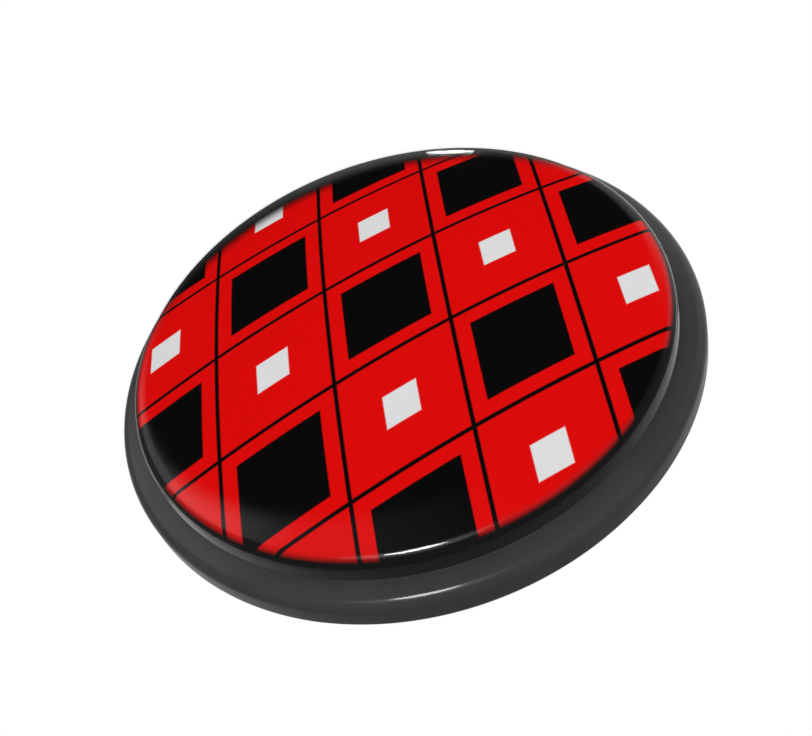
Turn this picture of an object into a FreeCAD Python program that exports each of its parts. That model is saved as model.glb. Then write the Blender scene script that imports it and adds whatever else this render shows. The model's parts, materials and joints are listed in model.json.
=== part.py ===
import FreeCAD, Part
import math
import os

# A pin-back button badge. A pressed tinplate dome, with a printed disc and a clear film wrapped over it,
# snaps into the channel of a moulded back. The back's recess carries a steel bar with a swinging needle and
# a turning safety catch.
# Millimetres. The origin is the centre of the flat foot, +Z comes out of the face, and +X runs along the
# pin bar from its hinge to its catch.

# Rim of the moulded back
BADGE_DIAMETER = 58.0
RIM_WIDTH = 2.4
RIM_HEIGHT = 3.0
RIM_SHOULDER_RISE = 0.56
RIM_TOP_ROUND = 1.2
RIM_FOOT_ROUND = 0.6

# Domed face, measured on the outside of the film
FACE_WALL_HEIGHT = 1.3
FACE_EDGE_ROUND = 1.3
FACE_CROWN_RADIUS = 121.0

# Layers of the face
FILM_THICKNESS = 0.10
PRINT_THICKNESS = 0.15
SHELL_THICKNESS = 0.30
LAYER_GAP = 0.03
LIP_BEND_RADIUS = 0.30

# Snap seat, where the shell's turned-in lip springs under the back's ledge
CHANNEL_GAP = 0.05
SEAT_GAP = 0.05
LEDGE_GAP = 0.08
SNAP_UNDERCUT = 0.40
UPSTAND_CLEARANCE = 0.30
GROOVE_CLEARANCE = 0.10
UPSTAND_LEAD_IN = 0.50
PANEL_CLEARANCE = 0.20

# Walls of the moulded back
BASE_THICKNESS = 1.0
BACK_WALL = 1.4
PANEL_THICKNESS = 1.1
RECESS_TAPER = 0.30
RECESS_CORNER_ROUND = 0.60
RECESS_MOUTH_ROUND = 0.30
CREASE_ROUND = 0.10

# Pin bar and the two heat stakes that hold it
BAR_LENGTH = 36.0
BAR_WIDTH = 5.0
BAR_THICKNESS = 0.6
BAR_CORNER_ROUND = 2.2
STAKE_SPACING = 14.0
STAKE_DIAMETER = 2.0
STAKE_HEAD_DIAMETER = 3.2
STAKE_HEAD_HEIGHT = 0.5
STAKE_HEAD_ROUND = 0.35
HOLE_CLEARANCE = 0.05
STUB_DIAMETER = 1.4

# Needle and its hinge
PIN_STANDOFF = 1.9
NEEDLE_DIAMETER = 1.0
NEEDLE_POINT_DIAMETER = 0.10
NEEDLE_POINT_LENGTH = 7.0
NEEDLE_EYE_DIAMETER = 2.2
NEEDLE_NECK_LENGTH = 2.0
NEEDLE_NECK_HEIGHT = 1.3
NEEDLE_NECK_ROUND = 0.30
HINGE_INSET = 4.0
HINGE_SIDE_PLAY = 0.15
EAR_THICKNESS = 0.5
EAR_END_RADIUS = 1.3
EAR_OUTER_BEND = 0.45
EAR_INNER_BEND = 0.10
RIVET_DIAMETER = 1.0
RIVET_HEAD_DIAMETER = 1.8
RIVET_HEAD_HEIGHT = 0.35
RIVET_HEAD_ROUND = 0.25
RIVET_EAR_CLEARANCE = 0.02
RIVET_EYE_CLEARANCE = 0.05

# Safety catch
CATCH_INSET = 3.5
BARREL_LENGTH = 3.0
BARREL_WALL = 0.45
BARREL_OPENING = 1.4
HOUSING_PLATE_THICKNESS = 0.40
HOUSING_PLATE_WIDTH = 3.8
HOUSING_PLATE_ROUND = 0.6
HOUSING_NECK_WIDTH = 1.6
DRUM_BORE_DIAMETER = 1.36
DRUM_WALL = 0.32
DRUM_SLOT = 1.3
DRUM_CLEARANCE = 0.05
DRUM_SIDE_PLAY = 0.05
INNER_FLANGE_THICKNESS = 0.5
INNER_FLANGE_DIAMETER = 2.7
OUTER_FLANGE_THICKNESS = 0.8
OUTER_FLANGE_DIAMETER = 3.0
LEVER_REACH = 2.0
LEVER_WIDTH = 0.7
LEVER_TIP_ROUND = 0.25
LEVER_ANGLE = -45.0

# Radii and heights that follow from the sizes above
STACK = FILM_THICKNESS + PRINT_THICKNESS + SHELL_THICKNESS + 2 * LAYER_GAP
rim_r = BADGE_DIAMETER / 2
face_r = rim_r - RIM_WIDTH
crease_z = RIM_HEIGHT + RIM_SHOULDER_RISE
channel_r = face_r + CHANNEL_GAP

edge_centre_r = face_r - FACE_EDGE_ROUND
edge_centre_z = crease_z + FACE_WALL_HEIGHT
crown_angle = math.asin(edge_centre_r / (FACE_CROWN_RADIUS - FACE_EDGE_ROUND))
crown_centre_z = edge_centre_z - (FACE_CROWN_RADIUS - FACE_EDGE_ROUND) * math.cos(crown_angle)

lip_bend = LIP_BEND_RADIUS + STACK
bend_centre_r = face_r - lip_bend
bend_centre_z = BASE_THICKNESS + SEAT_GAP + lip_bend
upstand_r = face_r - STACK - UPSTAND_CLEARANCE
lip_end_r = upstand_r - SNAP_UNDERCUT
groove_r = lip_end_r - GROOVE_CLEARANCE
ledge_z = BASE_THICKNESS + SEAT_GAP + STACK + LEDGE_GAP

recess_r = groove_r - BACK_WALL
panel_edge_r = upstand_r - UPSTAND_LEAD_IN
shell_inner_crown = FACE_CROWN_RADIUS - STACK
panel_top = crown_centre_z + math.sqrt(shell_inner_crown**2 - panel_edge_r**2) - PANEL_CLEARANCE
recess_top = panel_top - PANEL_THICKNESS

bar_low = recess_top - BAR_THICKNESS
pin_z = bar_low - PIN_STANDOFF
hinge_x = HINGE_INSET - BAR_LENGTH / 2
catch_x = BAR_LENGTH / 2 - CATCH_INSET
drum_r = DRUM_BORE_DIAMETER / 2 + DRUM_WALL
barrel_inner_r = drum_r + DRUM_CLEARANCE
barrel_outer_r = barrel_inner_r + BARREL_WALL
barrel_start = catch_x - BARREL_LENGTH / 2
barrel_end = catch_x + BARREL_LENGTH / 2
drum_start = barrel_start - DRUM_SIDE_PLAY - INNER_FLANGE_THICKNESS
drum_end = barrel_end + DRUM_SIDE_PLAY + OUTER_FLANGE_THICKNESS
ear_gap = NEEDLE_DIAMETER / 2 + HINGE_SIDE_PLAY
ear_outside = ear_gap + EAR_THICKNESS

TOUCHING = 1e-7
PAST = 1.0
V = FreeCAD.Vector
X_AXIS = V(1, 0, 0)
Y_AXIS = V(0, 1, 0)
Z_AXIS = V(0, 0, 1)
ORIGIN = V(0, 0, 0)


def half_section(spot):
    """A point given as (radius, height), in the plane that is turned about the badge's axis."""
    return V(spot.x, 0, spot.y)


def in_plan(height):
    """Places (x, y) points at one height."""
    return lambda spot: V(spot.x, spot.y, height)


def across_bar(x):
    """Places (y, z) points in the plane square to the bar at x."""
    return lambda spot: V(x, spot.x, spot.y)


def rounded_outline(corners, place):
    """Closed face of straight runs, each (a, b, round) corner turned by an arc of its own radius."""
    spots = [V(a, b, 0) for a, b, _ in corners]
    turns = []
    for i, (_, _, radius) in enumerate(corners):
        back = (spots[i - 1] - spots[i]).normalize()
        ahead = (spots[(i + 1) % len(spots)] - spots[i]).normalize()
        half = back.getAngle(ahead) / 2
        reach = radius / math.tan(half)
        to_arc = radius / math.sin(half) - radius
        inwards = (back + ahead).normalize() if radius else V(0, 0, 0)
        turns.append((spots[i] + back * reach, spots[i] + inwards * to_arc, spots[i] + ahead * reach))
    edges = []
    for i, (start, middle, end) in enumerate(turns):
        last_end = turns[i - 1][2]
        if (start - last_end).Length > TOUCHING:
            edges.append(Part.LineSegment(place(last_end), place(start)).toShape())
        if (end - start).Length > TOUCHING:
            edges.append(Part.Arc(place(start), place(middle), place(end)).toShape())
    return Part.Face(Part.Wire(edges))


def turned(face):
    """The half section turned once round the badge's axis."""
    return face.revolve(ORIGIN, Z_AXIS, 360)


def rod_x(diameter, start, end):
    """A cylinder on the needle's line, from x = start to x = end."""
    return Part.makeCylinder(diameter / 2, end - start, V(start, 0, pin_z), X_AXIS)


def post_z(diameter, x, low, high):
    """An upright cylinder on the bar's centre line."""
    return Part.makeCylinder(diameter / 2, high - low, V(x, 0, low), Z_AXIS)


def slot_below(width, start, end):
    """A box that opens the needle's line towards the cloth."""
    return Part.makeBox(end - start, width, pin_z + PAST, V(start, -width / 2, -PAST))


def polar(centre_r, centre_z, radius, angle):
    """A half-section point at an angle measured from +Z towards the rim."""
    return V(centre_r + radius * math.sin(angle), 0, centre_z + radius * math.cos(angle))


def face_line(depth):
    """Edges of the face's surface at a depth under the film: crown, edge, wall, bend and lip."""
    crown = FACE_CROWN_RADIUS - depth
    edge = FACE_EDGE_ROUND - depth
    bend = lip_bend - depth
    square = math.pi / 2
    apex = polar(0, crown_centre_z, crown, 0)
    crown_middle = polar(0, crown_centre_z, crown, crown_angle / 2)
    crown_end = polar(0, crown_centre_z, crown, crown_angle)
    edge_middle = polar(edge_centre_r, edge_centre_z, edge, (crown_angle + square) / 2)
    wall_top = polar(edge_centre_r, edge_centre_z, edge, square)
    wall_foot = polar(bend_centre_r, bend_centre_z, bend, square)
    bend_middle = polar(bend_centre_r, bend_centre_z, bend, 1.5 * square)
    lip_start = polar(bend_centre_r, bend_centre_z, bend, 2 * square)
    lip_end = V(lip_end_r, 0, lip_start.z)
    curves = [
        Part.Arc(apex, crown_middle, crown_end),
        Part.Arc(crown_end, edge_middle, wall_top),
        Part.LineSegment(wall_top, wall_foot),
        Part.Arc(wall_foot, bend_middle, lip_start),
        Part.LineSegment(lip_start, lip_end),
    ]
    return [curve.toShape() for curve in curves], apex, lip_end


def face_layer(depth, thickness):
    """One layer of the face, pressed over the dome and turned in under the skirt."""
    outside, outer_apex, outer_lip = face_line(depth)
    inside, inner_apex, inner_lip = face_line(depth + thickness)
    lip_edge = Part.LineSegment(outer_lip, inner_lip).toShape()
    on_axis = Part.LineSegment(inner_apex, outer_apex).toShape()
    return turned(Part.Face(Part.Wire(outside + [lip_edge] + inside[::-1] + [on_axis])))


def clear_film():
    return face_layer(0, FILM_THICKNESS)


def printed_disc():
    return face_layer(FILM_THICKNESS + LAYER_GAP, PRINT_THICKNESS)


def front_shell():
    return face_layer(STACK - SHELL_THICKNESS, SHELL_THICKNESS)


def stake_places():
    return (-STAKE_SPACING / 2, STAKE_SPACING / 2)


def heat_stake(x):
    """A peg through the bar, its end melted over into a low dome."""
    head_r = STAKE_HEAD_DIAMETER / 2
    stake_r = STAKE_DIAMETER / 2
    head_low = bar_low - STAKE_HEAD_HEIGHT
    section = rounded_outline(
        [
            (0, head_low, 0),
            (head_r, head_low, STAKE_HEAD_ROUND),
            (head_r, bar_low, 0),
            (stake_r, bar_low, 0),
            (stake_r, panel_top, 0),
            (0, panel_top, 0),
        ],
        half_section,
    )
    stake = turned(section)
    stake.translate(V(x, 0, 0))
    return stake


def moulded_back():
    """Rim, channel, snap upstand and panel as one turned moulding, with the bar's stakes."""
    section = rounded_outline(
        [
            (0, recess_top, 0),
            (recess_r, recess_top, RECESS_CORNER_ROUND),
            (recess_r + RECESS_TAPER, 0, RECESS_MOUTH_ROUND),
            (rim_r, 0, RIM_FOOT_ROUND),
            (rim_r, RIM_HEIGHT, RIM_TOP_ROUND),
            (channel_r, crease_z, CREASE_ROUND),
            (channel_r, BASE_THICKNESS, 0),
            (groove_r, BASE_THICKNESS, 0),
            (groove_r, ledge_z, 0),
            (upstand_r, ledge_z, 0),
            (upstand_r, panel_top - UPSTAND_LEAD_IN, 0),
            (panel_edge_r, panel_top, 0),
            (0, panel_top, 0),
        ],
        half_section,
    )
    return turned(section).fuse([heat_stake(x) for x in stake_places()]).removeSplitter()


def pin_bar():
    """Flat strip with rounded ends, pierced for the stakes and for the stubs of hinge and catch."""
    x = BAR_LENGTH / 2
    y = BAR_WIDTH / 2
    corners = [(-x, -y), (x, -y), (x, y), (-x, y)]
    outline = rounded_outline([(a, b, BAR_CORNER_ROUND) for a, b in corners], in_plan(bar_low))
    strip = outline.extrude(Z_AXIS * BAR_THICKNESS)
    holes = [(place, STAKE_DIAMETER) for place in stake_places()]
    holes += [(place, STUB_DIAMETER) for place in (hinge_x, catch_x)]
    for place, diameter in holes:
        strip = strip.cut(post_z(diameter + 2 * HOLE_CLEARANCE, place, bar_low - PAST, recess_top + PAST))
    return strip


def hinge_bracket():
    """Strip folded to a U, its two ears rounded about the rivet, with a stub up through the bar."""
    ear_low = pin_z - EAR_END_RADIUS
    folded = rounded_outline(
        [
            (-ear_outside, ear_low, 0),
            (-ear_outside, bar_low, EAR_OUTER_BEND),
            (ear_outside, bar_low, EAR_OUTER_BEND),
            (ear_outside, ear_low, 0),
            (ear_gap, ear_low, 0),
            (ear_gap, bar_low - EAR_THICKNESS, EAR_INNER_BEND),
            (-ear_gap, bar_low - EAR_THICKNESS, EAR_INNER_BEND),
            (-ear_gap, ear_low, 0),
        ],
        across_bar(hinge_x - EAR_END_RADIUS),
    ).extrude(X_AXIS * (2 * EAR_END_RADIUS))
    rounded_end = Part.makeCylinder(EAR_END_RADIUS, 2 * ear_outside, V(hinge_x, -ear_outside, pin_z), Y_AXIS)
    upper = Part.makeBox(
        2 * EAR_END_RADIUS,
        2 * ear_outside,
        bar_low - pin_z,
        V(hinge_x - EAR_END_RADIUS, -ear_outside, pin_z),
    )
    bracket = folded.common(upper.fuse(rounded_end).removeSplitter())
    rivet_hole_r = RIVET_DIAMETER / 2 + RIVET_EAR_CLEARANCE
    hole = Part.makeCylinder(rivet_hole_r, 4 * ear_outside, V(hinge_x, -2 * ear_outside, pin_z), Y_AXIS)
    stub = post_z(STUB_DIAMETER, hinge_x, bar_low - EAR_THICKNESS, recess_top)
    return bracket.cut(hole).fuse(stub).removeSplitter()


def hinge_rivet():
    """Plain shank with a low domed head against each ear."""
    shank_r = RIVET_DIAMETER / 2
    head_r = RIVET_HEAD_DIAMETER / 2
    head_end = ear_outside + RIVET_HEAD_HEIGHT
    section = rounded_outline(
        [
            (0, -head_end, 0),
            (head_r, -head_end, RIVET_HEAD_ROUND),
            (head_r, -ear_outside, 0),
            (shank_r, -ear_outside, 0),
            (shank_r, ear_outside, 0),
            (head_r, ear_outside, 0),
            (head_r, head_end, RIVET_HEAD_ROUND),
            (0, head_end, 0),
        ],
        half_section,
    )
    rivet = turned(section)
    rivet.rotate(ORIGIN, X_AXIS, 90)
    rivet.translate(V(hinge_x, 0, pin_z))
    return rivet


def pin_needle():
    """Wire flattened to an eye and neck at the rivet, and ground to a point inside the catch."""
    half = NEEDLE_DIAMETER / 2
    wire_start = hinge_x + NEEDLE_NECK_LENGTH
    point_end = barrel_end
    point_start = point_end - NEEDLE_POINT_LENGTH
    eye = Part.makeCylinder(NEEDLE_EYE_DIAMETER / 2, NEEDLE_DIAMETER, V(hinge_x, -half, pin_z), Y_AXIS)
    neck_low = pin_z - NEEDLE_NECK_HEIGHT / 2
    neck_outline = rounded_outline(
        [
            (hinge_x, neck_low, 0),
            (wire_start, neck_low, NEEDLE_NECK_ROUND),
            (wire_start, neck_low + NEEDLE_NECK_HEIGHT, NEEDLE_NECK_ROUND),
            (hinge_x, neck_low + NEEDLE_NECK_HEIGHT, 0),
        ],
        lambda spot: V(spot.x, -half, spot.y),
    )
    neck = neck_outline.extrude(Y_AXIS * NEEDLE_DIAMETER)
    wire = rod_x(NEEDLE_DIAMETER, hinge_x + half, point_start)
    point_r = NEEDLE_POINT_DIAMETER / 2
    point = Part.makeCone(half, point_r, NEEDLE_POINT_LENGTH, V(point_start, 0, pin_z), X_AXIS)
    eye_hole_r = RIVET_DIAMETER / 2 + RIVET_EYE_CLEARANCE
    eye_hole = Part.makeCylinder(eye_hole_r, 4 * half, V(hinge_x, -2 * half, pin_z), Y_AXIS)
    return eye.fuse([neck, wire, point]).cut(eye_hole).removeSplitter()


def catch_housing():
    """Plate under the bar with a barrel rolled from it, open along its underside."""
    half_width = HOUSING_PLATE_WIDTH / 2
    plate_low = bar_low - HOUSING_PLATE_THICKNESS
    corners = [
        (barrel_start, -half_width),
        (barrel_end, -half_width),
        (barrel_end, half_width),
        (barrel_start, half_width),
    ]
    outline = rounded_outline([(a, b, HOUSING_PLATE_ROUND) for a, b in corners], in_plan(plate_low))
    plate = outline.extrude(Z_AXIS * HOUSING_PLATE_THICKNESS)
    neck = Part.makeBox(
        BARREL_LENGTH,
        HOUSING_NECK_WIDTH,
        bar_low - pin_z,
        V(barrel_start, -HOUSING_NECK_WIDTH / 2, pin_z),
    )
    barrel = rod_x(2 * barrel_outer_r, barrel_start, barrel_end)
    stub = post_z(STUB_DIAMETER, catch_x, plate_low, recess_top)
    bore = rod_x(2 * barrel_inner_r, barrel_start - PAST, barrel_end + PAST)
    opening = slot_below(BARREL_OPENING, barrel_start - PAST, barrel_end + PAST)
    return plate.fuse([neck, barrel, stub]).cut([bore, opening]).removeSplitter()


def catch_drum():
    """Slotted tube with a flange at each end, the outer one drawn out into a finger lever."""
    tube = rod_x(2 * drum_r, drum_start, drum_end)
    inner_flange = rod_x(INNER_FLANGE_DIAMETER, drum_start, drum_start + INNER_FLANGE_THICKNESS)
    outer_flange_start = drum_end - OUTER_FLANGE_THICKNESS
    outer_flange = rod_x(OUTER_FLANGE_DIAMETER, outer_flange_start, drum_end)
    half_width = LEVER_WIDTH / 2
    lever = rounded_outline(
        [
            (drum_r, -half_width, 0),
            (LEVER_REACH, -half_width, LEVER_TIP_ROUND),
            (LEVER_REACH, half_width, LEVER_TIP_ROUND),
            (drum_r, half_width, 0),
        ],
        across_bar(outer_flange_start),
    ).extrude(X_AXIS * OUTER_FLANGE_THICKNESS)
    lever.rotate(ORIGIN, X_AXIS, LEVER_ANGLE)
    lever.translate(V(0, 0, pin_z))
    bore = rod_x(DRUM_BORE_DIAMETER, drum_start - PAST, drum_end + PAST)
    slot = slot_below(DRUM_SLOT, drum_start - PAST, drum_end + PAST)
    return tube.fuse([inner_flange, outer_flange, lever]).cut([bore, slot]).removeSplitter()


PIECES = (
    clear_film,
    printed_disc,
    front_shell,
    moulded_back,
    pin_bar,
    hinge_bracket,
    hinge_rivet,
    pin_needle,
    catch_housing,
    catch_drum,
)

os.makedirs("parts", exist_ok=True)
for piece in PIECES:
    shape = piece()
    shape.exportStep(f"parts/{piece.__name__}.step")
    box = shape.BoundBox
    print(
        f"{piece.__name__}: valid {shape.isValid()}, solids {len(shape.Solids)}, volume {shape.Volume:.2f},",
        f"x {box.XMin:.2f} to {box.XMax:.2f}, z {box.ZMin:.2f} to {box.ZMax:.2f}",
    )
print(f"needle line z {pin_z:.4f}, hinge x {hinge_x:.3f}")
print(f"recess radius {recess_r:.3f}, recess top {recess_top:.3f}")
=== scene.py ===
"""Looks of a pin-back button badge: a filmed print on a dome, a moulded back and a hinged pin."""

import bpy
import json
import math
from mathutils import Matrix, Vector


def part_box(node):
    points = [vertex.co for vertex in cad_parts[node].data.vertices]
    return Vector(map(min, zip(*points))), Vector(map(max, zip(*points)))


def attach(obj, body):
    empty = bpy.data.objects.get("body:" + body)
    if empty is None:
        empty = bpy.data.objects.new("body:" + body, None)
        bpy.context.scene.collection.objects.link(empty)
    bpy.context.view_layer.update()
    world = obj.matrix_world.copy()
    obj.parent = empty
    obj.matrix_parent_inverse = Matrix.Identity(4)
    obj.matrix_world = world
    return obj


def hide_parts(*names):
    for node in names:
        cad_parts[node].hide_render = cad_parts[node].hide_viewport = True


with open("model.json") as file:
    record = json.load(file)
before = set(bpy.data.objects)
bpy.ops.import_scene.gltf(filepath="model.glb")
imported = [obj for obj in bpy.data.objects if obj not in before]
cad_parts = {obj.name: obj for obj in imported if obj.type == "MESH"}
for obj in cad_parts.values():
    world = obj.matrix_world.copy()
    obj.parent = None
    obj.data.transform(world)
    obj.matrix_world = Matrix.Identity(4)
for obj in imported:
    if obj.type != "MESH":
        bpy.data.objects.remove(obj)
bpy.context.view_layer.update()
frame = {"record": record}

# Pieces are modelled in millimetres and brought to metres when they are finished
MM = 0.001
X = Vector((1, 0, 0))
Y = Vector((0, 1, 0))
Z = Vector((0, 0, 1))
MERGE_GAP = 1e-4

# Camera, from the photograph; its azimuth starts at the front, which is -Y
FRONT = -90.0
LENS = 50.0
CAMERA_AZIMUTH = 43.32
CAMERA_ELEVATION = 46.47
CAMERA_ROLL = 20.73
CAMERA_DISTANCE = 106.37
AIM_POINT = Vector((2.76, -3.39, 3.98))
NEAREST_SEEN = 5.0

# Fineness of turned shapes
DISC_STEPS = 288
SMALL_STEPS = 64
WIRE_STEPS = 48
ARC_STEP = 6.0
CROWN_RINGS = 40
SMOOTH_ANGLE = 32.0

# How far a cutting tool reaches past what it cuts
CUT_PAST = 1.0

# Layers of the face
FACE_EDGE_ROUND = 1.3
FACE_CROWN_RADIUS = 121.0
FILM_THICKNESS = 0.10
PRINT_THICKNESS = 0.15
SHELL_THICKNESS = 0.30
LAYER_GAP = 0.03
LIP_BEND_RADIUS = 0.30
STACK = FILM_THICKNESS + PRINT_THICKNESS + SHELL_THICKNESS + 2 * LAYER_GAP

# Snap seat and walls of the moulded back
SEAM_GAP = 0.01
LEDGE_GAP = 0.08
SEAT_GAP = 0.05
SNAP_UNDERCUT = 0.40
UPSTAND_CLEARANCE = 0.30
GROOVE_CLEARANCE = 0.10
UPSTAND_LEAD_IN = 0.50
BACK_WALL = 1.4
RECESS_TAPER = 0.30
RECESS_CORNER_ROUND = 0.60
RECESS_MOUTH_ROUND = 0.30
RIM_HEIGHT = 3.0
RIM_SHOULDER_RISE = 0.56
RIM_TOP_ROUND = 1.2
RIM_FOOT_ROUND = 0.6
STAKE_SPACING = 14.0
STAKE_RADIUS = 1.0
STAKE_HEAD_RADIUS = 1.6
STAKE_HEAD_HEIGHT = 0.5
STAKE_HEAD_ROUND = 0.35
STAKE_ROOT = 0.4
EJECTOR_RADIUS = 1.5
EJECTOR_CIRCLE = 17.0
EJECTOR_DEPTH = 0.05
EJECTOR_ANGLES = (45, 135, 225, 315)

# Pin bar, hinge and needle
BAR_CORNER_ROUND = 2.2
BAR_CORNER_STEPS = 14
HOLE_CLEARANCE = 0.05
STUB_RADIUS = 0.7
EAR_THICKNESS = 0.5
EAR_END_RADIUS = 1.3
EAR_OUTSIDE = 1.15
EAR_OUTER_BEND = 0.45
EAR_INNER_BEND = 0.10
EAR_ROUND_STEPS = 20
EAR_ROUND_SHORT = 0.01
RIVET_RADIUS = 0.5
RIVET_HEAD_RADIUS = 0.9
RIVET_HEAD_HEIGHT = 0.35
RIVET_HEAD_ROUND = 0.25
RIVET_EAR_CLEARANCE = 0.02
RIVET_EYE_CLEARANCE = 0.05
NEEDLE_RADIUS = 0.5
NEEDLE_EYE_RADIUS = 1.1
NEEDLE_EYE_ROUND = 0.16
NEEDLE_BORE_ROUND = 0.05
NEEDLE_ROOT = 0.8
NEEDLE_NECK_HEIGHT = 1.3
NEEDLE_POINT_LENGTH = 7.0
NEEDLE_POINT_RADIUS = 0.03
NEEDLE_POINT_BULGE = 0.25
NEEDLE_POINT_RINGS = 16
NEEDLE_POINT_EASE = 0.3
# Rings of the needle's flattened neck: distance past the hinge, half width, half height
NEEDLE_NECK_RINGS = (
    (1.3, 0.44, NEEDLE_NECK_HEIGHT / 2),
    (1.8, 0.47, 0.60),
    (2.3, 0.49, 0.53),
    (2.8, NEEDLE_RADIUS, NEEDLE_RADIUS),
)

# Safety catch
BARREL_LENGTH = 3.0
BARREL_RADIUS = 1.5
BARREL_BORE = 1.05
BARREL_OPENING = 1.4
PLATE_THICKNESS = 0.40
PLATE_WIDTH = 3.8
PLATE_CORNER_ROUND = 0.6
PLATE_CORNER_STEPS = 8
BARREL_NECK_WIDTH = 1.6
DRUM_RADIUS = 1.0
DRUM_BORE = 0.68
DRUM_SLOT = 1.3
INNER_FLANGE_THICKNESS = 0.5
INNER_FLANGE_RADIUS = 1.35
OUTER_FLANGE_THICKNESS = 0.8
OUTER_FLANGE_RADIUS = 1.5
LEVER_REACH = 2.0
LEVER_WIDTH = 0.7
LEVER_ANGLE = -45.0
LEVER_TIP_ROUND = 0.25
LEVER_INSET = 0.04

# Edges as stamped and tumbled
SHEET_EDGE = 0.07
FINE_EDGE = 0.04
EDGE_STEPS = 3
SHARP_ANGLE = 40.0

# Print
LOZENGE_WIDTH = 14.0
LOZENGE_HEIGHT = 20.0
LOZENGE_SHARE = 0.36
LINE_SHARE = 0.018
PIP_SHARE = 0.86
# Black print border down the wall. Its soft fade over the edge round is partly painted shade, and its
# widening towards the far side is painted shade
BORDER_AND_SHADE_LOW = 5.50
BORDER_AND_SHADE_HIGH = 6.05
SHADE_RISE = 0.85
SHADE_REACH = (6.0, 26.0)
INK_SOFTNESS = 0.006

# The face's wall, and the order of the finishes on film and print after the first
WALL_STEEPNESS = 0.1
FILM_BONDED = 1
FILM_ON_WALL = 2
PRINT_ON_WALL = 1

# Studio: directions are (azimuth, elevation) in degrees
FLOOR_DROP = 40.0
FLOOR_SIZE = 4.0
PANEL_REACH = 300.0
ENERGY_PER_RADIANCE = 4
NEAR_LAMP = (284, 63)
FAR_LAMP = (120.2, 14.6)
UNDER_PANEL = (30, -88)
FAR_GLOW = (98, 8)
SIDE_GLOW = (180, 40)
DARK_CAP = (133, 44)
DARK_SIDE = (80, 60)
LIT_SIDE = (0, 0)
FAR_SIDE = (133, 0)


def box(node):
    """Lowest and highest corners of a CAD node, in millimetres."""
    return [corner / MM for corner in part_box(node)]


joints = {
    joint["name"]: Vector(joint["pos_m"]) / MM
    for joint in frame["record"]["behaviour"]["joints"]
}
hinge = joints["pin_swing"]
catch = joints["catch_turn"]
film_low, film_high = box("clear_film")
bar_low, bar_high = box("pin_bar")
back_high = box("moulded_back")[1]
drum_low, drum_high = box("catch_drum")
needle_end = box("pin_needle")[1].x
barrel_start = catch.x - BARREL_LENGTH / 2


def direction(azimuth, elevation):
    """Unit vector at an azimuth from +X towards +Y and an elevation."""
    a = math.radians(azimuth)
    e = math.radians(elevation)
    return Vector((math.cos(a) * math.cos(e), math.sin(a) * math.cos(e), math.sin(e)))


class Value:
    """A shader socket that takes part in arithmetic: each operation adds a Math node."""

    def __init__(self, nodes, socket):
        self.nodes = nodes
        self.socket = socket

    def __add__(self, other):
        return self.nodes.maths("ADD", self, other)

    def __sub__(self, other):
        return self.nodes.maths("SUBTRACT", self, other)

    def __rsub__(self, other):
        return self.nodes.maths("SUBTRACT", other, self)

    def __mul__(self, other):
        return self.nodes.maths("MULTIPLY", self, other)

    def __truediv__(self, other):
        return self.nodes.maths("DIVIDE", self, other)

    __radd__ = __add__
    __rmul__ = __mul__


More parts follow.
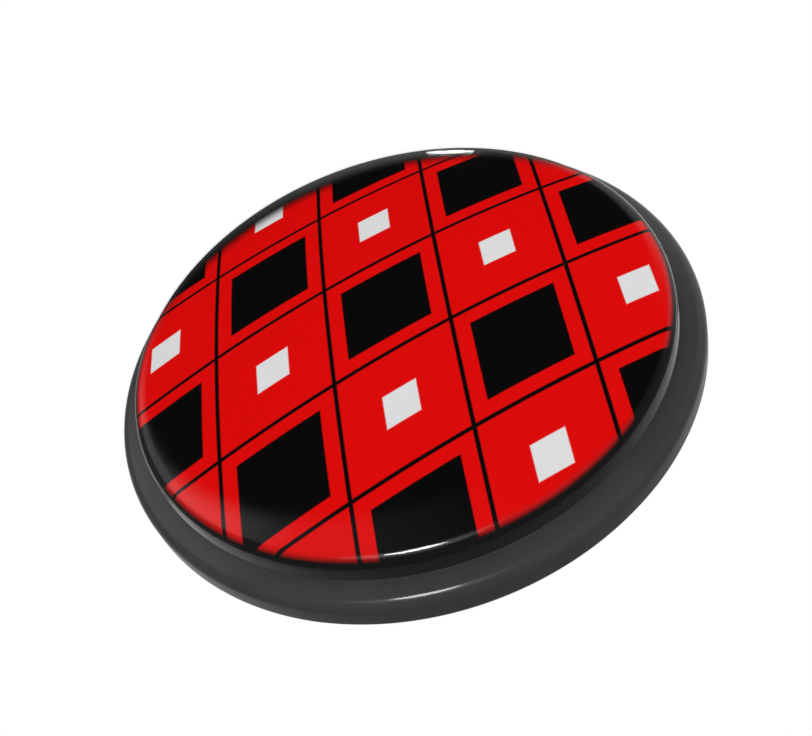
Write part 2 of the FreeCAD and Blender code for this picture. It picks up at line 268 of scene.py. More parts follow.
class Nodes:
    """The nodes of one material, or of the studio around the badge."""

    def __init__(self, owner):
        self.owner = owner
        owner.use_nodes = True
        self.tree = owner.node_tree
        self.tree.nodes.clear()

    def node(self, kind, settings=None, inputs=None, output=0):
        """Adds a node, sets it up, then sets or links its sockets, and gives one of its outputs."""
        made = self.tree.nodes.new(kind)
        for name, setting in (settings or {}).items():
            setattr(made, name, setting)
        for name, given in (inputs or {}).items():
            if isinstance(given, Value):
                self.tree.links.new(given.socket, made.inputs[name])
            else:
                made.inputs[name].default_value = given
        return Value(self, made.outputs[output]) if made.outputs else None

    def maths(self, operation, *operands):
        return self.node("ShaderNodeMath", {"operation": operation}, dict(enumerate(operands)))

    def place(self):
        """The point on the piece, in the badge's own frame, in millimetres."""
        metres = self.node("ShaderNodeTexCoord", output="Object")
        return self.node("ShaderNodeVectorMath", {"operation": "SCALE"}, {0: metres, "Scale": 1 / MM})

    def along(self, place, axis):
        """One coordinate of the point."""
        return self.node("ShaderNodeSeparateXYZ", inputs={0: place}, output=axis)

    def stretched(self, place, lengths):
        """The point with each axis drawn out by its own length."""
        shrink = tuple(1 / length for length in lengths)
        return self.node("ShaderNodeVectorMath", {"operation": "MULTIPLY"}, {0: place, 1: shrink})

    def noise(self, place, size, detail=2.0):
        """Noise from 0 to 1 whose features are about size millimetres across."""
        inputs = {"Vector": place, "Scale": 1 / size, "Detail": detail}
        return self.node("ShaderNodeTexNoise", {"noise_dimensions": "3D"}, inputs)

    def toward(self, place, way):
        """How far the point lies along one way, an azimuth and an elevation."""
        inputs = {0: place, 1: direction(*way)}
        return self.node("ShaderNodeVectorMath", {"operation": "DOT_PRODUCT"}, inputs, "Value")

    def around(self, place, way, edge, core):
        """Rises from 0 to 1 between edge and core, degrees away from one way."""
        near = self.toward(place, way)
        return self.between(near, math.cos(math.radians(edge)), math.cos(math.radians(core)))

    def between(self, value, low, high, start=0.0, end=1.0):
        """Carries value smoothly from low..high to start..end, held flat outside."""
        inputs = {"Value": value, "From Min": low, "From Max": high, "To Min": start, "To Max": end}
        return self.node("ShaderNodeMapRange", {"interpolation_type": "SMOOTHSTEP"}, inputs)

    def mix(self, factor, first, second):
        """Mixes two colours."""
        return self.node("ShaderNodeMix", {"data_type": "RGBA"}, {0: factor, 6: first, 7: second}, 2)

    def bump(self, height, depth):
        """Normals of a relief whose height of 1 stands depth millimetres proud."""
        return self.node("ShaderNodeBump", None, {"Distance": depth * MM, "Height": height})

    def surface(self, **sockets):
        """A Principled surface, its sockets' names written with underscores."""
        inputs = {name.replace("_", " "): given for name, given in sockets.items()}
        return self.node("ShaderNodeBsdfPrincipled", None, inputs)

    def layered(self, factor, first, second):
        return self.node("ShaderNodeMixShader", None, {0: factor, 1: first, 2: second})

    def done(self, shader, kind="ShaderNodeOutputMaterial"):
        self.node(kind, None, {"Surface": shader})
        return self.owner


def finish_of(name):
    return Nodes(bpy.data.materials.new(name))


def grey(level):
    return (level, level, level, 1.0)


def film_gloss():
    """Outside of the clear film: clean gloss with the faint waviness of a wrapped film."""
    n = finish_of("film_gloss")
    wave = n.bump(n.noise(n.place(), 5.0, 1.0), 0.0015)
    behind = n.node("ShaderNodeNewGeometry", output="Backfacing")
    share = n.node("ShaderNodeFresnel", None, {"IOR": 1.5, "Normal": wave}) * (1 - behind)
    clear = n.node("ShaderNodeBsdfTransparent", None, {"Color": grey(1.0)})
    inputs = {"Color": grey(1.0), "Roughness": 0.05, "Normal": wave}
    gloss = n.node("ShaderNodeBsdfAnisotropic", None, inputs)
    return n.done(n.layered(share, clear, gloss))


def film_bonded():
    """Underside of the film, stuck down on the print, so that it reflects nothing of its own."""
    n = finish_of("film_bonded")
    return n.done(n.node("ShaderNodeBsdfTransparent", None, {"Color": grey(1.0)}))


def print_ink():
    """Lozenges on a ground crossed by fine lines, fading into a printed black border that runs down the
    wall; its soft fade over the edge round is partly painted shade, and its widening towards the far
    side is painted shade.
    """
    red = (0.685, 0.0037, 0.0034, 1.0)
    black = grey(0.003)
    white = grey(0.70)
    soft = INK_SOFTNESS
    n = finish_of("print_ink")
    place = n.place()
    bleed = (n.noise(place, 0.12) - 0.5) * soft
    across = n.maths("PINGPONG", n.along(place, 0) / LOZENGE_WIDTH, 0.5)
    upward = n.maths("PINGPONG", n.along(place, 1) / LOZENGE_HEIGHT, 0.5)
    step = across + upward + bleed
    lozenge = n.between(step, LOZENGE_SHARE - soft, LOZENGE_SHARE + soft, 1.0, 0.0)
    off_line = n.maths("ABSOLUTE", step - 0.5)
    line = n.between(off_line, LINE_SHARE - soft, LINE_SHARE + soft, 1.0, 0.0)
    pip = n.between(step, PIP_SHARE - soft, PIP_SHARE + soft)
    # Painted shade: the black border widens towards the far side and fades softly over the edge round,
    # on top of the printed border
    shade_rise = n.between(n.toward(place, FAR_SIDE), *SHADE_REACH, 0.0, SHADE_RISE)
    border = n.between(n.along(place, 2) - shade_rise, BORDER_AND_SHADE_LOW, BORDER_AND_SHADE_HIGH, 1.0, 0.0)
    mottle = n.noise(place, 0.35, 3.0)
    ink = n.mix(lozenge, red, black)
    ink = n.mix(line, ink, black)
    ink = n.mix(pip, ink, white)
    ink = n.mix(border, ink, black)
    ink = n.mix(n.between(mottle, 0.25, 0.75, 0.0, 0.06), ink, grey(0.0))
    fibres = n.noise(place, 0.05, 3.0)
    return n.done(
        n.surface(
            Base_Color=ink,
            Roughness=n.between(mottle, 0.3, 0.7, 0.5, 0.62),
            Specular_IOR_Level=0.0,
            Normal=n.bump(fibres, 0.003),
        )
    )


def print_fold():
    """The border where the paper turns down the wall, glossed by the film drawn tight over it."""
    n = finish_of("print_fold")
    fibres = n.noise(n.place(), 0.4, 2.0)
    return n.done(
        n.surface(
            Base_Color=grey(0.005),
            Roughness=0.07,
            Specular_IOR_Level=0.5,
            Sheen_Weight=1.0,
            Sheen_Roughness=0.3,
            Normal=n.bump(fibres, 0.0005),
        )
    )


def moulding():
    """Dark grey moulded plastic: a gloss with faint flow clouds, scuffed along the foot."""
    n = finish_of("moulding")
    place = n.place()
    clouds = n.noise(place, 5.0, 3.0)
    grain = n.noise(place, 0.10, 3.0)
    scuffs = n.noise(place, 0.22, 5.0)
    foot = n.between(n.along(place, 2), 0.02, 0.45, 1.0, 0.0)
    worn = foot * n.between(scuffs, 0.35, 0.80)
    tone = n.mix(n.between(clouds * 0.6 + grain * 0.4, 0.3, 0.7), grey(0.040), grey(0.048))
    return n.done(
        n.surface(
            Base_Color=n.mix(worn, tone, grey(0.062)),
            Roughness=n.between(grain, 0.3, 0.7, 0.07, 0.12) + worn * 0.3,
            Specular_IOR_Level=0.28,
            Normal=n.bump(grain, 0.0008),
        )
    )


def steel(name, dark, bright, low, high, drawn):
    """Plated steel with clouds of tarnish and fine marks drawn out along the given lengths."""
    n = finish_of(name)
    place = n.place()
    clouds = n.noise(place, 1.8, 3.0)
    marks = n.noise(n.stretched(place, drawn), 0.06, 3.0)
    scratches = n.between(n.noise(n.stretched(place, drawn), 0.13, 2.0), 0.62, 0.70)
    return n.done(
        n.surface(
            Base_Color=n.mix(n.between(clouds, 0.3, 0.7), dark, bright),
            Metallic=1.0,
            Roughness=n.between(marks * 0.5 + clouds * 0.5, 0.3, 0.7, low, high) + scratches * 0.08,
            Normal=n.bump(marks - scratches * 0.8, 0.0012),
        )
    )


def floor_white():
    """Plain white floor, seen only from above."""
    n = finish_of("floor_white")
    lit = n.node("ShaderNodeEmission", None, {"Color": grey(1.0), "Strength": 1.0})
    clear = n.node("ShaderNodeBsdfTransparent", None, {"Color": grey(1.0)})
    under = n.node("ShaderNodeNewGeometry", output="Backfacing")
    return n.done(n.layered(under, lit, clear))


def arc(centre, radius, start, end):
    """Section points on an arc, its angles in degrees from straight up towards the rim."""
    steps = max(2, math.ceil(abs(end - start) / ARC_STEP))
    angles = [math.radians(start + (end - start) * i / steps) for i in range(steps + 1)]
    return [centre + radius * Vector((math.sin(a), math.cos(a))) for a in angles]


def rounded(corners):
    """Section points along straight runs, each (a, b, round) corner turned by an arc."""
    spots = [Vector((a, b)) for a, b, _ in corners]
    points = []
    for i, (_, _, radius) in enumerate(corners):
        if not radius:
            points.append(spots[i])
            continue
        back = (spots[i - 1] - spots[i]).normalized()
        ahead = (spots[(i + 1) % len(spots)] - spots[i]).normalized()
        half = back.angle(ahead) / 2
        centre = spots[i] + (back + ahead).normalized() * (radius / math.sin(half))
        arm = spots[i] + back * (radius / math.tan(half)) - centre
        turn = math.copysign(math.pi - 2 * half, back.cross(ahead))
        steps = max(2, math.ceil(math.degrees(abs(turn)) / ARC_STEP))
        points += [centre + Matrix.Rotation(-turn * j / steps, 2) @ arm for j in range(steps + 1)]
    return points


def clear_selection():
    """Leaves edit mode with nothing selected."""
    if bpy.context.mode != "OBJECT":
        bpy.ops.object.mode_set(mode="OBJECT")
    bpy.ops.object.select_all(action="DESELECT")


def choose(piece):
    clear_selection()
    piece.select_set(True)
    bpy.context.view_layer.objects.active = piece


def close_up():
    """Joins doubled points, turns the faces outwards and leaves edit mode."""
    bpy.ops.mesh.select_all(action="SELECT")
    bpy.ops.mesh.remove_doubles(threshold=MERGE_GAP)
    bpy.ops.mesh.normals_make_consistent(inside=False)
    bpy.ops.object.mode_set(mode="OBJECT")


def drawn_line(name, spots):
    """A new piece that is one line drawn through the spots, left in edit mode."""
    clear_selection()
    bpy.ops.mesh.primitive_plane_add(size=1.0)
    piece = bpy.context.active_object
    piece.name = name
    bpy.ops.object.mode_set(mode="EDIT")
    bpy.ops.mesh.select_mode(type="VERT")
    bpy.ops.mesh.select_all(action="SELECT")
    bpy.ops.mesh.merge(type="CENTER")
    bpy.ops.transform.translate(value=spots[0])
    for here, there in zip(spots, spots[1:]):
        bpy.ops.mesh.extrude_vertices_move(TRANSFORM_OT_translate={"value": there - here})
    return piece


def turned(name, section, centre=Vector(), along=Z, across=X, steps=SMALL_STEPS):
    """A piece spun about an axis from its half section of (radius, height) points."""
    piece = drawn_line(name, [centre + across * radius + along * height for radius, height in section])
    bpy.ops.mesh.select_all(action="SELECT")
    bpy.ops.mesh.spin(steps=steps, angle=math.tau, center=centre, axis=along)
    close_up()
    return piece


def prism(name, outline, depth):
    """A flat outline filled and drawn out along depth."""
    piece = drawn_line(name, outline)
    bpy.ops.mesh.select_all(action="SELECT")
    bpy.ops.mesh.edge_face_add()
    bpy.ops.mesh.extrude_region_move(TRANSFORM_OT_translate={"value": depth})
    close_up()
    return piece


def block(name, low, high):
    clear_selection()
    low, high = Vector(low), Vector(high)
    bpy.ops.mesh.primitive_cube_add(size=1.0, location=(low + high) / 2, scale=high - low)
    bpy.ops.object.transform_apply(location=True, rotation=True, scale=True)
    piece = bpy.context.active_object
    piece.name = name
    return piece


def pick_edges(piece, wanted):
    """Selects, in edit mode, the edges whose two ends both pass the test."""
    choose(piece)
    bpy.ops.object.mode_set(mode="EDIT")
    bpy.ops.mesh.select_mode(type="EDGE")
    bpy.ops.mesh.select_all(action="DESELECT")
    bpy.ops.object.mode_set(mode="OBJECT")
    spots = [vertex.co for vertex in piece.data.vertices]
    for edge in piece.data.edges:
        edge.select = wanted(*[spots[i] for i in edge.vertices])
    bpy.ops.object.mode_set(mode="EDIT")


def round_uprights(piece, radius, steps, half_width):
    """Rounds the edges that stand along Z on the piece's two long sides."""
    side = half_width - MERGE_GAP

    def upright(a, b):
        stands = abs(a.z - b.z) > (a - b).length - MERGE_GAP
        return stands and min(abs(a.y), abs(b.y)) > side

    pick_edges(piece, upright)
    bpy.ops.mesh.bevel(offset=radius, segments=steps, affect="EDGES")
    close_up()


def combine(piece, tool, operation):
    """Cuts the tool from the piece or welds it on; the tool is used up."""
    choose(piece)
    change = piece.modifiers.new("combine", "BOOLEAN")
    change.operation = operation
    change.solver = "EXACT"
    change.object = tool
    bpy.ops.object.modifier_apply(modifier=change.name)
    bpy.data.objects.remove(tool)


def cut(piece, *tools):
    for tool in tools:
        combine(piece, tool, "DIFFERENCE")


def weld(piece, *tools):
    for tool in tools:
        combine(piece, tool, "UNION")


def ease_edges(piece, width):
    """Small rounds on every sharp edge, as tumbling leaves them."""
    choose(piece)
    change = piece.modifiers.new("eased", "BEVEL")
    change.width = width
    change.segments = EDGE_STEPS
    change.limit_method = "ANGLE"
    change.angle_limit = math.radians(SHARP_ANGLE)
    bpy.ops.object.modifier_apply(modifier=change.name)


def rod(name, radius, start, end, along=X, steps=SMALL_STEPS):
    """A plain round bar from start to end."""
    across = Y if along != Y else Z
    length = (end - start).length
    section = [Vector((0, 0)), Vector((radius, 0)), Vector((radius, length)), Vector((0, length))]
    return turned(name, section, start, along, across, steps)


def settle(piece, node, body, slot, *materials):
    """Brings a finished piece to metres, gives it its finish and puts it in its node's place."""
    choose(piece)
    bpy.ops.transform.resize(value=(MM, MM, MM), center_override=(0, 0, 0))
    bpy.ops.object.transform_apply(location=True, rotation=True, scale=True)
    bpy.ops.object.shade_smooth_by_angle(angle=math.radians(SMOOTH_ANGLE))
    piece.data.materials.clear()
    for material in materials:
        piece.data.materials.append(material)
    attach(piece, body)
    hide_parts(node)


def face_section(depth):
    """Section of the face's surface at a depth under the film, from its pole to the end of its lip."""
    crown = FACE_CROWN_RADIUS - depth
    crown_centre = Vector((0, film_high.z - FACE_CROWN_RADIUS))
    edge_r = film_high.x - FACE_EDGE_ROUND
    crown_angle = math.asin(edge_r / (FACE_CROWN_RADIUS - FACE_EDGE_ROUND))
    edge_centre = crown_centre + (FACE_CROWN_RADIUS - FACE_EDGE_ROUND) * Vector(
        (math.sin(crown_angle), math.cos(crown_angle))
    )
    bend = LIP_BEND_RADIUS + STACK
    bend_centre = Vector((film_high.x - bend, film_low.z + bend))
    lip_end_r = film_high.x - STACK - UPSTAND_CLEARANCE - SNAP_UNDERCUT
    angles = [crown_angle * i / CROWN_RINGS for i in range(CROWN_RINGS)]
    section = [crown_centre + crown * Vector((math.sin(a), math.cos(a))) for a in angles]
    section += arc(edge_centre, FACE_EDGE_ROUND - depth, math.degrees(crown_angle), 90)
    section += arc(bend_centre, bend - depth, 90, 180)
    section.append(Vector((lip_end_r, section[-1].y)))
    return section


def face_layer(name, depth, thickness):
    """One layer of the face, pressed over the dome and turned in under the skirt."""
    section = face_section(depth) + face_section(depth + thickness)[::-1]
    return turned(name, section, steps=DISC_STEPS)


def on_wall(face):
    """Whether a facet of film or print stands on the face's upright wall."""
    return abs(face.normal.z) < WALL_STEEPNESS


def clear_film(fold):
    """Film over the face; drawn tight over the wall, it and the fold show as one glossy surface."""
    film = face_layer("film_wrap", 0.0, FILM_THICKNESS)
    settle(film, "clear_film", "badge", "film", film_gloss(), film_bonded(), fold)
    heart = Vector((0, 0, film_low.z + film_high.z)) * MM / 2
    for face in film.data.polygons:
        outside = face.normal.dot(face.center - heart) > 0
        if not outside:
            face.material_index = FILM_BONDED
        elif on_wall(face):
            face.material_index = FILM_ON_WALL


def printed_disc(fold):
    """Printed paper under the film, its border folded down the wall."""
    sheet = face_layer("printed_sheet", FILM_THICKNESS + LAYER_GAP, PRINT_THICKNESS)
    settle(sheet, "printed_disc", "badge", "print", print_ink(), fold)
    for face in sheet.data.polygons:
        if on_wall(face):
            face.material_index = PRINT_ON_WALL


def front_shell():
    """Pressed tinplate dome under the print."""
    shell = face_layer("tinplate_dome", STACK - SHELL_THICKNESS, SHELL_THICKNESS)
    finish = steel(
        "tinplate",
        dark=(0.56, 0.55, 0.52, 1.0),
        bright=(0.64, 0.63, 0.60, 1.0),
        low=0.26,
        high=0.40,
        drawn=(1.0, 6.0, 1.0),
    )
    settle(shell, "front_shell", "badge", "tinplate", finish)


def heat_stake(x):
    """A peg through the bar, its end melted over into a low dome."""
    head_low = bar_low.z - STAKE_HEAD_HEIGHT
    root = bar_high.z + STAKE_ROOT
    section = rounded(
        [
            (0, head_low, 0),
            (STAKE_HEAD_RADIUS, head_low, STAKE_HEAD_ROUND),
            (STAKE_HEAD_RADIUS, bar_low.z, 0),
            (STAKE_RADIUS, bar_low.z, 0),
            (STAKE_RADIUS, root, 0),
            (0, root, 0),
        ]
    )
    return turned("stake", section, X * x)


def ejector_mark(angle):
    """A shallow disc, sunk where an ejector pin pushed the moulding off its tool."""
    spot = Vector((math.cos(angle), math.sin(angle), 0)) * EJECTOR_CIRCLE + Z * bar_high.z
    return rod("ejector", EJECTOR_RADIUS, spot - Z * CUT_PAST, spot + Z * EJECTOR_DEPTH, Z)


def moulded_back():
    """Rim, channel, snap upstand and panel as one turned moulding, with the bar's stakes."""
    rim_r = back_high.x
    face_r = film_high.x
    channel_r = face_r + SEAM_GAP
    base = film_low.z - SEAT_GAP
    ledge = film_low.z + STACK + LEDGE_GAP
    upstand_r = face_r - STACK - UPSTAND_CLEARANCE
    groove_r = upstand_r - SNAP_UNDERCUT - GROOVE_CLEARANCE
    recess_r = groove_r - BACK_WALL
    panel_edge_r = upstand_r - UPSTAND_LEAD_IN
    section = rounded(
        [
            (0, bar_high.z, 0),
            (recess_r, bar_high.z, RECESS_CORNER_ROUND),
            (recess_r + RECESS_TAPER, 0, RECESS_MOUTH_ROUND),
            (rim_r, 0, RIM_FOOT_ROUND),
            (rim_r, RIM_HEIGHT, RIM_TOP_ROUND),
            (channel_r, RIM_HEIGHT + RIM_SHOULDER_RISE, 0),
            (channel_r, base, 0),
            (groove_r, base, 0),
            (groove_r, ledge, 0),
            (upstand_r, ledge, 0),
            (upstand_r, back_high.z - UPSTAND_LEAD_IN, 0),
            (panel_edge_r, back_high.z, 0),
            (0, back_high.z, 0),
        ]
    )
    back = turned("back_moulding", section, steps=DISC_STEPS)
    weld(back, heat_stake(-STAKE_SPACING / 2), heat_stake(STAKE_SPACING / 2))
    cut(back, *[ejector_mark(math.radians(angle)) for angle in EJECTOR_ANGLES])
    settle(back, "moulded_back", "badge", "moulding", moulding())


def pin_bar(finish):
    """Flat strip with rounded ends, pierced for the stakes and for the stubs of hinge and catch."""
    bar = block("pin_strip", bar_low, bar_high)
    round_uprights(bar, BAR_CORNER_ROUND, BAR_CORNER_STEPS, bar_high.y)
    holes = [(x, STAKE_RADIUS) for x in (-STAKE_SPACING / 2, STAKE_SPACING / 2)]
    holes += [(x, STUB_RADIUS) for x in (hinge.x, catch.x)]
    for x, radius in holes:
        low = Vector((x, 0, bar_low.z - CUT_PAST))
        high = Vector((x, 0, bar_high.z + CUT_PAST))
        cut(bar, rod("hole", radius + HOLE_CLEARANCE, low, high, Z))
    ease_edges(bar, SHEET_EDGE)
    settle(bar, "pin_bar", "badge", "plated_steel", finish)


def hinge_bracket(finish):
    """Strip folded to a U, its two ears rounded about the rivet, with a stub up through the bar."""
    ear_low = hinge.z - EAR_END_RADIUS
    ear_gap = EAR_OUTSIDE - EAR_THICKNESS
    start = hinge.x - EAR_END_RADIUS
    folded = rounded(
        [
            (-EAR_OUTSIDE, ear_low, 0),
            (-EAR_OUTSIDE, bar_low.z, EAR_OUTER_BEND),
            (EAR_OUTSIDE, bar_low.z, EAR_OUTER_BEND),
            (EAR_OUTSIDE, ear_low, 0),
            (ear_gap, ear_low, 0),
            (ear_gap, bar_low.z - EAR_THICKNESS, EAR_INNER_BEND),
            (-ear_gap, bar_low.z - EAR_THICKNESS, EAR_INNER_BEND),
            (-ear_gap, ear_low, 0),
        ]
    )
    outline = [Vector((start, y, z)) for y, z in folded]
    bracket = prism("hinge_ears", outline, X * (2 * EAR_END_RADIUS))

    def ear_corner(a, b):
        return max(a.z, b.z) < ear_low + MERGE_GAP and abs(a.x - b.x) < MERGE_GAP

    pick_edges(bracket, ear_corner)
    ear_round = EAR_END_RADIUS - EAR_ROUND_SHORT
    bpy.ops.mesh.bevel(offset=ear_round, segments=EAR_ROUND_STEPS, affect="EDGES")
    close_up()
    past = Y * (EAR_OUTSIDE + CUT_PAST)
    cut(bracket, rod("rivet_hole", RIVET_RADIUS + RIVET_EAR_CLEARANCE, hinge - past, hinge + past, Y))
    stub_low = Vector((hinge.x, 0, bar_low.z - EAR_THICKNESS / 2))
    weld(bracket, rod("stub", STUB_RADIUS, stub_low, Vector((hinge.x, 0, bar_high.z)), Z))
    ease_edges(bracket, FINE_EDGE)
    settle(bracket, "hinge_bracket", "badge", "plated_steel", finish)


def hinge_rivet(finish):
    """Plain shank with a low domed head against each ear."""
    head_end = EAR_OUTSIDE + RIVET_HEAD_HEIGHT
    section = rounded(
        [
            (0, -head_end, 0),
            (RIVET_HEAD_RADIUS, -head_end, RIVET_HEAD_ROUND),
            (RIVET_HEAD_RADIUS, -EAR_OUTSIDE, 0),
            (RIVET_RADIUS, -EAR_OUTSIDE, 0),
            (RIVET_RADIUS, EAR_OUTSIDE, 0),
            (RIVET_HEAD_RADIUS, EAR_OUTSIDE, 0),
            (RIVET_HEAD_RADIUS, head_end, RIVET_HEAD_ROUND),
            (0, head_end, 0),
        ]
    )
    rivet = turned("rivet", section, hinge, Y, X)
    settle(rivet, "hinge_rivet", "badge", "plated_steel", finish)


def needle_eye():
    """Flattened end of the wire, bored for the rivet."""
    bore = RIVET_RADIUS + RIVET_EYE_CLEARANCE
    ring = rounded(
        [
            (bore, -NEEDLE_RADIUS, NEEDLE_BORE_ROUND),
            (NEEDLE_EYE_RADIUS, -NEEDLE_RADIUS, NEEDLE_EYE_ROUND),
            (NEEDLE_EYE_RADIUS, NEEDLE_RADIUS, NEEDLE_EYE_ROUND),
            (bore, NEEDLE_RADIUS, NEEDLE_BORE_ROUND),
        ]
    )
    return turned("needle", ring + ring[:1], hinge, Y, X)


def needle_wire():
    """Wire drawn out ring by ring: flattened at the neck, round along its length, ground to a point."""
    start = hinge.x + NEEDLE_ROOT
    point_start = needle_end - NEEDLE_POINT_LENGTH
    # Each ring: its place along X, half its width, half its height
    rings = [(hinge.x + past, half_wide, half_high) for past, half_wide, half_high in NEEDLE_NECK_RINGS]
    rings.append((point_start - NEEDLE_POINT_EASE, NEEDLE_RADIUS, NEEDLE_RADIUS))
    for i in range(NEEDLE_POINT_RINGS):
        share = i / NEEDLE_POINT_RINGS
        radius = NEEDLE_RADIUS * (1 - share) * (1 + NEEDLE_POINT_BULGE * share)
        radius += NEEDLE_POINT_RADIUS * share
        rings.append((point_start + NEEDLE_POINT_LENGTH * share, radius, radius))
    rings.append((needle_end, NEEDLE_POINT_RADIUS, NEEDLE_POINT_RADIUS))
    clear_selection()
    bpy.ops.mesh.primitive_circle_add(
        vertices=WIRE_STEPS,
        radius=NEEDLE_RADIUS,
        fill_type="NGON",
        location=(start, 0, hinge.z),
        rotation=(0, math.pi / 2, 0),
    )
    wire = bpy.context.active_object
    bpy.ops.object.transform_apply(location=True, rotation=True, scale=True)
    bpy.ops.object.mode_set(mode="EDIT")
    bpy.ops.mesh.select_all(action="SELECT")
    wide, high, x = NEEDLE_RADIUS, NEEDLE_RADIUS, start
    for next_x, next_wide, next_high in rings:
        bpy.ops.mesh.extrude_region_move(TRANSFORM_OT_translate={"value": (next_x - x, 0, 0)})
        bpy.ops.transform.resize(
            value=(1, next_wide / wide, next_high / high), center_override=(next_x, 0, hinge.z)
        )
        wide, high, x = next_wide, next_high, next_x
    close_up()
    return wire


def pin_needle():
    needle = needle_eye()
    weld(needle, needle_wire())
    finish = steel(
        "needle_steel",
        dark=(0.66, 0.655, 0.64, 1.0),
        bright=(0.76, 0.755, 0.74, 1.0),
        low=0.10,
        high=0.18,
        drawn=(0.4, 3.0, 3.0),
    )
    settle(needle, "pin_needle", "needle", "needle_steel", finish)


def catch_housing(finish):
    """Plate under the bar with a barrel rolled from it, open along its underside."""
    plate_low = bar_low.z - PLATE_THICKNESS
    plate_half = PLATE_WIDTH / 2
    neck_half = BARREL_NECK_WIDTH / 2
    opening_half = BARREL_OPENING / 2
    neck_angle = math.degrees(math.asin(neck_half / BARREL_RADIUS))
    outer_lip = 180 - math.degrees(math.asin(opening_half / BARREL_RADIUS))
    inner_lip = 180 - math.degrees(math.asin(opening_half / BARREL_BORE))
    centre = Vector((0, catch.z))
    outline = [Vector((-plate_half, bar_low.z)), Vector((plate_half, bar_low.z))]
    outline += [Vector((plate_half, plate_low)), Vector((neck_half, plate_low))]
    outline += arc(centre, BARREL_RADIUS, neck_angle, outer_lip)
    outline += arc(centre, BARREL_BORE, inner_lip, -inner_lip)
    outline += arc(centre, BARREL_RADIUS, -outer_lip, -neck_angle)
    outline += [Vector((-neck_half, plate_low)), Vector((-plate_half, plate_low))]
    end_face = [Vector((barrel_start, y, z)) for y, z in outline]
    housing = prism("catch_barrel", end_face, X * BARREL_LENGTH)
    round_uprights(housing, PLATE_CORNER_ROUND, PLATE_CORNER_STEPS, plate_half)
    stub_low = Vector((catch.x, 0, plate_low + PLATE_THICKNESS / 2))
    weld(housing, rod("stub", STUB_RADIUS, stub_low, Vector((catch.x, 0, bar_high.z)), Z))
    ease_edges(housing, FINE_EDGE)
    settle(housing, "catch_housing", "badge", "plated_steel", finish)


def catch_drum(finish):
    """Slotted tube with a flange at each end, the outer one drawn out into a finger lever."""
    inner_end = drum_low.x + INNER_FLANGE_THICKNESS
    outer_start = drum_high.x - OUTER_FLANGE_THICKNESS
    ring = rounded(
        [
            (DRUM_BORE, drum_low.x, 0),
            (INNER_FLANGE_RADIUS, drum_low.x, 0),
            (INNER_FLANGE_RADIUS, inner_end, 0),
            (DRUM_RADIUS, inner_end, 0),
            (DRUM_RADIUS, outer_start, 0),
            (OUTER_FLANGE_RADIUS, outer_start, 0),
            (OUTER_FLANGE_RADIUS, drum_high.x, 0),
            (DRUM_BORE, drum_high.x, 0),
        ]
    )
    drum = turned("catch_roller", ring + ring[:1], Z * catch.z, X, Y)
    half = LEVER_WIDTH / 2
    turn = Matrix.Rotation(math.radians(LEVER_ANGLE), 3, X)
    root = Vector((outer_start + LEVER_INSET, 0, catch.z))
    tip = rounded(
        [
            (DRUM_RADIUS, -half, 0),
            (LEVER_REACH, -half, LEVER_TIP_ROUND),
            (LEVER_REACH, half, LEVER_TIP_ROUND),
            (DRUM_RADIUS, half, 0),
        ]
    )
    thickness = OUTER_FLANGE_THICKNESS - 2 * LEVER_INSET
    weld(drum, prism("lever", [root + turn @ Vector((0, a, b)) for a, b in tip], X * thickness))
    slot = DRUM_SLOT / 2
    slot_low = (drum_low.x - CUT_PAST, -slot, catch.z - 2 * OUTER_FLANGE_RADIUS)
    slot_high = (drum_high.x + CUT_PAST, slot, catch.z)
    cut(drum, block("slot", slot_low, slot_high))
    ease_edges(drum, FINE_EDGE)
    settle(drum, "catch_drum", "catch", "plated_steel", finish)


def add_camera():
    """Camera at the photograph's angle, rolled about its line of sight."""
    back = direction(CAMERA_AZIMUTH + FRONT, CAMERA_ELEVATION)
    data = bpy.data.cameras.new("camera")
    data.lens = LENS
    data.clip_start = NEAREST_SEEN * MM
    camera = bpy.data.objects.new("camera", data)
    bpy.context.scene.collection.objects.link(camera)
    spot = (AIM_POINT + back * CAMERA_DISTANCE) * MM
    level = (-back).to_track_quat("-Z", "Y").to_matrix().to_4x4()
    roll = Matrix.Rotation(math.radians(-CAMERA_ROLL), 4, "Z")
    camera.matrix_world = Matrix.Translation(spot) @ level @ roll
    bpy.context.scene.camera = camera


def add_panel(name, way, wide, high, radiance, roll=0.0, lights=True):
    """A soft oval panel facing the badge, sized in degrees; without lights it only shows in gloss."""
    reach = PANEL_REACH * MM
    towards = direction(*way)
    data = bpy.data.lights.new(name, "AREA")
    data.shape = "ELLIPSE"
    data.size = 2 * reach * math.tan(math.radians(wide / 2))
    data.size_y = 2 * reach * math.tan(math.radians(high / 2))
    area = data.size * data.size_y * (math.pi / 4)
    data.energy = ENERGY_PER_RADIANCE * radiance * area
    lamp = bpy.data.objects.new(name, data)
    bpy.context.scene.collection.objects.link(lamp)
    level = (-towards).to_track_quat("-Z", "Y").to_matrix().to_4x4()
    turn = Matrix.Rotation(math.radians(roll), 4, "Z")
    lamp.matrix_world = Matrix.Translation(towards * reach) @ level @ turn
    lamp.visible_camera = False
    lamp.visible_diffuse = lights


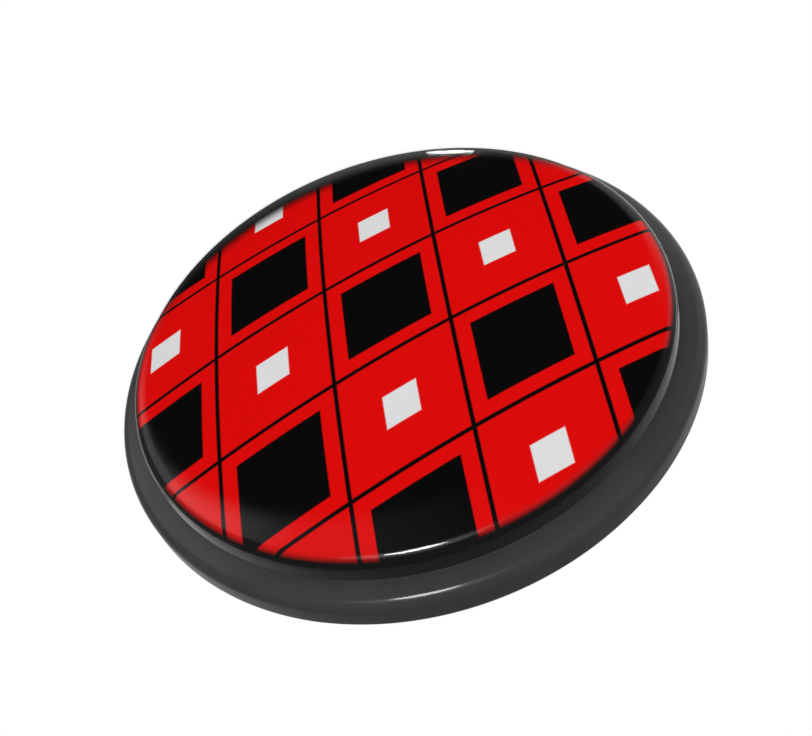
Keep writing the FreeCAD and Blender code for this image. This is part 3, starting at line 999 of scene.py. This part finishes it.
def add_studio():
    """White to the eye, soft light from above, and in the gloss a dim room, darkest overhead."""
    n = Nodes(bpy.data.worlds.new("studio"))
    bpy.context.scene.world = n.owner
    n.owner.cycles.sampling_method = "NONE"
    way = n.node("ShaderNodeTexCoord", output="Generated")
    up = n.along(way, 2)
    below = n.between(n.toward(way, FAR_SIDE), -0.5, 0.3, start=0.13, end=0.42)
    room = n.between(up, -0.5, -0.1, start=below, end=0.15)
    room = room + n.around(way, FAR_GLOW, edge=55, core=10) * 0.45
    room = room + n.around(way, SIDE_GLOW, edge=24, core=4) * 0.75
    room = room + n.around(way, NEAR_LAMP, edge=22, core=8) * 1.2
    room = room * (1 - n.around(way, DARK_CAP, edge=32, core=29))
    room = room * (1 - n.around(way, DARK_SIDE, edge=38, core=12))
    seen = n.node("ShaderNodeBackground", None, {"Color": grey(1.0)})
    even = n.between(up, -0.3, 0.3, start=0.30, end=0.78)
    even = even + n.between(up, 0.3, 0.8, start=0.0, end=0.45)
    even = even * (1 + n.toward(way, LIT_SIDE) * 0.25)
    soft = n.node("ShaderNodeBackground", None, {"Color": even})
    mirrored = n.node("ShaderNodeBackground", None, {"Color": room})
    in_gloss = n.node("ShaderNodeLightPath", output="Is Glossy Ray")
    to_eye = n.node("ShaderNodeLightPath", output="Is Camera Ray")
    n.done(n.layered(to_eye, n.layered(in_gloss, soft, mirrored), seen), "ShaderNodeOutputWorld")
    add_panel("near_lamp", NEAR_LAMP, wide=14, high=15, radiance=20.0, lights=False)
    add_panel("far_lamp", FAR_LAMP, wide=5.5, high=1.0, radiance=12.0, roll=-18.8, lights=False)
    add_panel("under_panel", UNDER_PANEL, wide=50, high=50, radiance=1.5)


def add_floor():
    clear_selection()
    bpy.ops.mesh.primitive_plane_add(size=FLOOR_SIZE, location=(0, 0, -FLOOR_DROP * MM))
    floor = bpy.context.active_object
    floor.name = "floor"
    floor.data.materials.append(floor_white())
    floor.visible_diffuse = False
    floor.visible_glossy = False
    floor.visible_shadow = False


def main():
    add_camera()
    add_studio()
    add_floor()
    fold = print_fold()
    clear_film(fold)
    printed_disc(fold)
    front_shell()
    moulded_back()
    plated = steel(
        "plated_steel",
        dark=(0.56, 0.55, 0.52, 1.0),
        bright=(0.68, 0.67, 0.64, 1.0),
        low=0.20,
        high=0.32,
        drawn=(6.0, 1.0, 1.0),
    )
    pin_bar(plated)
    hinge_bracket(plated)
    hinge_rivet(plated)
    pin_needle()
    catch_housing(plated)
    catch_drum(plated)
    bpy.context.scene.view_settings.view_transform = "Standard"


main()
